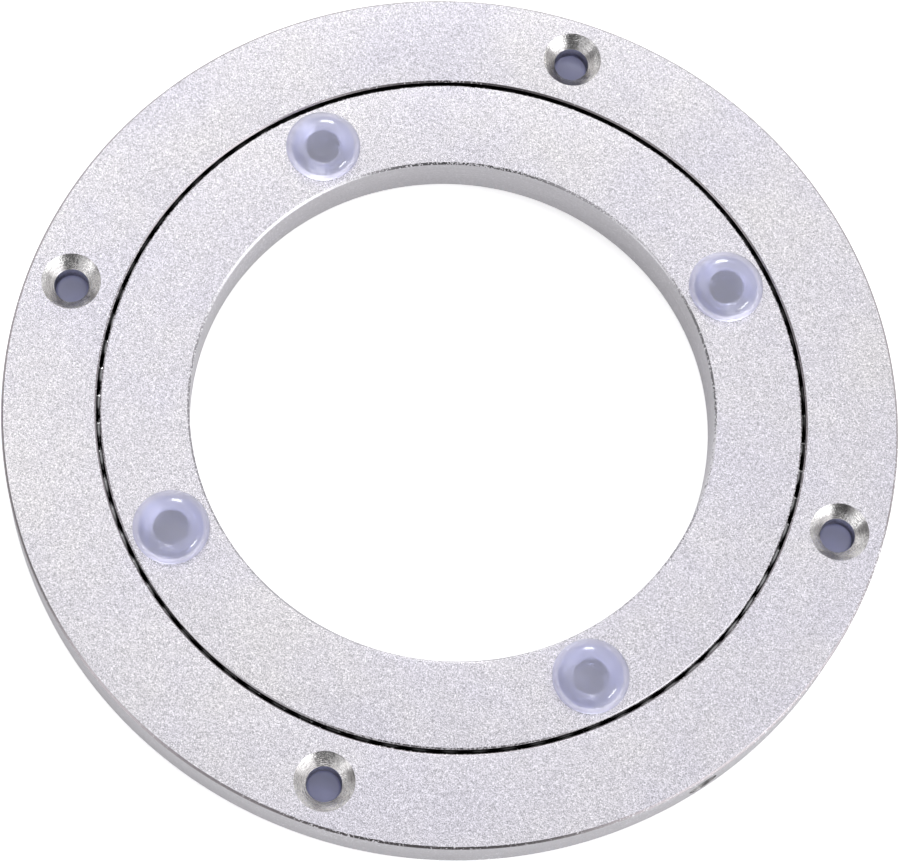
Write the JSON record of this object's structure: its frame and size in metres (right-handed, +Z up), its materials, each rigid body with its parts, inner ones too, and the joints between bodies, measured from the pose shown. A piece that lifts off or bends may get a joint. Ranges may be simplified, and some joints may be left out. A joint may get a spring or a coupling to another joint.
{
  "type": "turntable ring bearing",
  "caption": "Flat aluminium turntable ring bearing: two concentric rings on a full ring of balls, with countersunk screw holes, soft feet below and soft pads on top.",
  "frame": {"origin": "on the turning axis, in the plane that the lower feet stand on", "axes": "+Z up along the turning axis, +X through the first screw hole of the outer ring"},
  "size_m": [0.14, 0.14, 0.0137],
  "materials": {
    "sandblasted_aluminium": "sandblasted faces, turned walls",
    "ball_steel": "polished bearing steel",
    "plug_steel": "plain steel",
    "clear_soft_plastic": "clear, glossy, soft"
  },
  "bodies": {
    "outer": {"outer_ring": "sandblasted_aluminium", "ball_fill_plug": "plug_steel", "lower_foot_1": "clear_soft_plastic", "lower_foot_2": "clear_soft_plastic", "lower_foot_3": "clear_soft_plastic", "lower_foot_4": "clear_soft_plastic"},
    "inner": {"inner_ring": "sandblasted_aluminium", "upper_pad_1": "clear_soft_plastic", "upper_pad_2": "clear_soft_plastic", "upper_pad_3": "clear_soft_plastic", "upper_pad_4": "clear_soft_plastic"},
    "ball_row": {"balls_01": "ball_steel", "balls_02": "ball_steel", "balls_03": "ball_steel", "balls_04": "ball_steel", "balls_05": "ball_steel", "balls_06": "ball_steel", "balls_07": "ball_steel", "balls_08": "ball_steel", "balls_09": "ball_steel", "balls_10": "ball_steel", "balls_11": "ball_steel", "balls_12": "ball_steel", "balls_13": "ball_steel", "balls_14": "ball_steel", "balls_15": "ball_steel", "balls_16": "ball_steel", "balls_17": "ball_steel", "balls_18": "ball_steel", "balls_19": "ball_steel", "balls_20": "ball_steel", "balls_21": "ball_steel", "balls_22": "ball_steel", "balls_23": "ball_steel", "balls_24": "ball_steel", "balls_25": "ball_steel", "balls_26": "ball_steel", "balls_27": "ball_steel", "balls_28": "ball_steel", "balls_29": "ball_steel", "balls_30": "ball_steel", "balls_31": "ball_steel", "balls_32": "ball_steel", "balls_33": "ball_steel", "balls_34": "ball_steel", "balls_35": "ball_steel", "balls_36": "ball_steel", "balls_37": "ball_steel", "balls_38": "ball_steel"}
  },
  "joints": [
    {"name": "inner_turn", "type": "hinge", "parent": "outer", "child": "inner", "pos_m": [0, 0, 0.00685], "axis": [0, 0, 1], "continuous": true},
    {"name": "ball_row_turn", "type": "hinge", "parent": "outer", "child": "ball_row", "pos_m": [0, 0, 0.00685], "axis": [0, 0, 1], "continuous": true}
  ],
  "couplings": [
    {"joint": "ball_row_turn", "follows": "inner_turn", "ratio": 0.47958}
  ]
}
